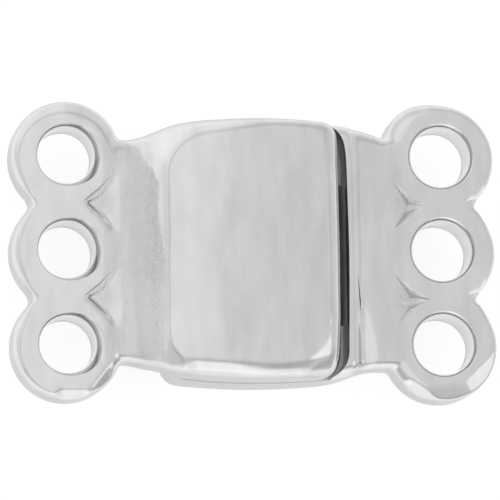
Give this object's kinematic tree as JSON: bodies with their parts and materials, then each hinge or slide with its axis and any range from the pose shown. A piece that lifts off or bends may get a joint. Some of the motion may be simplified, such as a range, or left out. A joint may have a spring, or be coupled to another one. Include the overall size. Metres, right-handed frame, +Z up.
{
  "type": "magnetic multi-strand clasp",
  "caption": "Flat polished metal clasp in two magnetic halves, a domed cover over a tray, with a row of strand loops at each end.",
  "frame": {"origin": "middle of the closed clasp's bounding box at the level of its flat underside", "axes": "+X along the strands from the cover half's loops to the tray half's loops, +Y across the strands, +Z up out of the cover"},
  "size_m": [0.0206, 0.0126, 0.005],
  "materials": {
    "plated_casting": "polished bright silver-coloured plating on cast brass",
    "plated_magnet": "bright nickel plating on a sintered magnet"
  },
  "bodies": {
    "tray": {"tray_half": "plated_casting", "tray_magnet": "plated_magnet"},
    "cover": {"cover_half": "plated_casting", "cover_magnet": "plated_magnet"}
  },
  "joints": [
    {"name": "cover_lift", "type": "slide", "parent": "tray", "child": "cover", "axis": [0, 0, 1], "range_m": [0, 0.006]}
  ]
}
